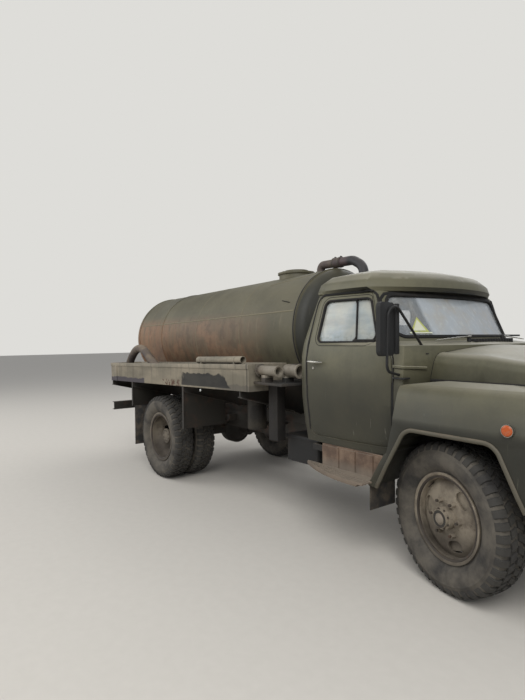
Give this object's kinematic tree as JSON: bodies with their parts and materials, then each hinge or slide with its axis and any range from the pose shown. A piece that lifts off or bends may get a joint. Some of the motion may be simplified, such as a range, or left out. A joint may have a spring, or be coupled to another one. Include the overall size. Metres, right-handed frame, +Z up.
{
  "type": "tanker truck",
  "caption": "Old bonneted vacuum tank truck with a round steel tank, side hose trays and steered front wheels.",
  "frame": {"origin": "on the ground under the middle of the truck's length and width", "axes": "+X forward, +Y to the left, +Z up"},
  "size_m": [6.6, 2.4518, 2.427],
  "materials": {
    "cab_paint": "matt",
    "tank_paint": "matt, rusty",
    "chassis_paint": "matt",
    "tray_paint": "peeling",
    "step_paint": "rusty",
    "wheel_paint": "dusty",
    "dark_paint": "satin",
    "spring_steel": "rusty",
    "iron": "matt",
    "tyre": "dusty",
    "rubber": "matt",
    "hose": "satin",
    "glass": "gloss",
    "lamp": "gloss",
    "dark_plastic": "satin",
    "seat_cover": "matt"
  },
  "bodies": {
    "chassis": {"frame": "chassis_paint", "front_bumper": "cab_paint", "engine_block": "iron", "front_axle": "chassis_paint", "rear_axle": "chassis_paint", "leaf_springs": "spring_steel", "propeller_shaft": "chassis_paint", "cab_floor": "cab_paint", "cab_front": "cab_paint", "cab_back": "cab_paint", "cab_roof": "cab_paint", "cab_glass": "glass", "dashboard": "dark_paint", "seat": "seat_cover", "fender_left": "cab_paint", "fender_right": "cab_paint", "lamps": "lamp", "front_panel": "cab_paint", "cab_steps": "step_paint", "mirrors": "dark_paint", "wipers": "dark_paint", "mudflaps": "rubber", "tank": "tank_paint", "top_pipe": "tank_paint", "top_hose": "hose", "loose_hose": "hose", "vacuum_set": "dark_paint", "tank_cradle": "chassis_paint", "hose_trays": "tray_paint", "fuel_tank": "dark_paint", "battery_box": "dark_paint", "silencer": "iron", "tail_beam": "chassis_paint"},
    "door_left": {"door_left": "cab_paint", "door_glass_left": "glass"},
    "door_right": {"door_right": "cab_paint", "door_glass_right": "glass"},
    "bonnet": {"bonnet": "cab_paint"},
    "hatch_lid": {"hatch_lid": "tank_paint"},
    "steering_wheel": {"steering_wheel": "dark_plastic"},
    "knuckle_left": {"knuckle_left": "chassis_paint"},
    "knuckle_right": {"knuckle_right": "chassis_paint"},
    "tie_rod": {"tie_rod": "chassis_paint"},
    "wheel_front_left": {"front_wheel_left": "wheel_paint", "front_tyre_left": "tyre"},
    "wheel_front_right": {"front_wheel_right": "wheel_paint", "front_tyre_right": "tyre"},
    "wheels_rear_left": {"rear_wheels_left": "wheel_paint", "rear_tyres_left": "tyre"},
    "wheels_rear_right": {"rear_wheels_right": "wheel_paint", "rear_tyres_right": "tyre"}
  },
  "joints": [
    {"name": "door_left_hinge", "type": "hinge", "parent": "chassis", "child": "door_left", "pos_m": [2.015, 0.99, 1.2], "axis": [0, 0, -1], "range_deg": [0, 65]},
    {"name": "door_right_hinge", "type": "hinge", "parent": "chassis", "child": "door_right", "pos_m": [2.015, -0.99, 1.2], "axis": [0, 0, 1], "range_deg": [0, 65]},
    {"name": "bonnet_hinge", "type": "hinge", "parent": "chassis", "child": "bonnet", "pos_m": [2.143, 0, 1.572], "axis": [0, -1, 0], "range_deg": [0, 45]},
    {"name": "hatch_lid_hinge", "type": "hinge", "parent": "chassis", "child": "hatch_lid", "pos_m": [-0.26997, 0, 2.32437], "axis": [0, -1, 0], "range_deg": [0, 100]},
    {"name": "kingpin_left", "type": "hinge", "parent": "chassis", "child": "knuckle_left", "pos_m": [2.415, 0.72, 0.477], "axis": [0, 0, 1], "range_deg": [-16, 44]},
    {"name": "kingpin_right", "type": "hinge", "parent": "chassis", "child": "knuckle_right", "pos_m": [2.415, -0.72, 0.477], "axis": [0, 0, 1], "range_deg": [-16, 44]},
    {"name": "tie_rod_pivot", "type": "hinge", "parent": "knuckle_right", "child": "tie_rod", "pos_m": [2.24322, -0.62358, 0.367], "axis": [0, 0, 1], "range_deg": [-44, 16]},
    {"name": "steering_wheel_turn", "type": "hinge", "parent": "chassis", "child": "steering_wheel", "pos_m": [1.68, 0.38, 1.465], "axis": [-0.374, 0, 0.9274], "range_deg": [-320, 880]},
    {"name": "front_left_spin", "type": "hinge", "parent": "knuckle_left", "child": "wheel_front_left", "pos_m": [2.43798, 0.81218, 0.477], "axis": [0.2419, 0.9703, 0], "continuous": true},
    {"name": "front_right_spin", "type": "hinge", "parent": "knuckle_right", "child": "wheel_front_right", "pos_m": [2.39202, -0.81218, 0.477], "axis": [0.2419, 0.9703, 0], "continuous": true},
    {"name": "rear_left_spin", "type": "hinge", "parent": "chassis", "child": "wheels_rear_left", "pos_m": [-1.285, 0.845, 0.477], "axis": [0, 1, 0], "continuous": true},
    {"name": "rear_right_spin", "type": "hinge", "parent": "chassis", "child": "wheels_rear_right", "pos_m": [-1.285, -0.845, 0.477], "axis": [0, 1, 0], "continuous": true}
  ],
  "couplings": [
    {"joint": "kingpin_left", "follows": "kingpin_right", "ratio": 1},
    {"joint": "tie_rod_pivot", "follows": "kingpin_right", "ratio": -1},
    {"joint": "steering_wheel_turn", "follows": "kingpin_right", "ratio": 20}
  ]
}
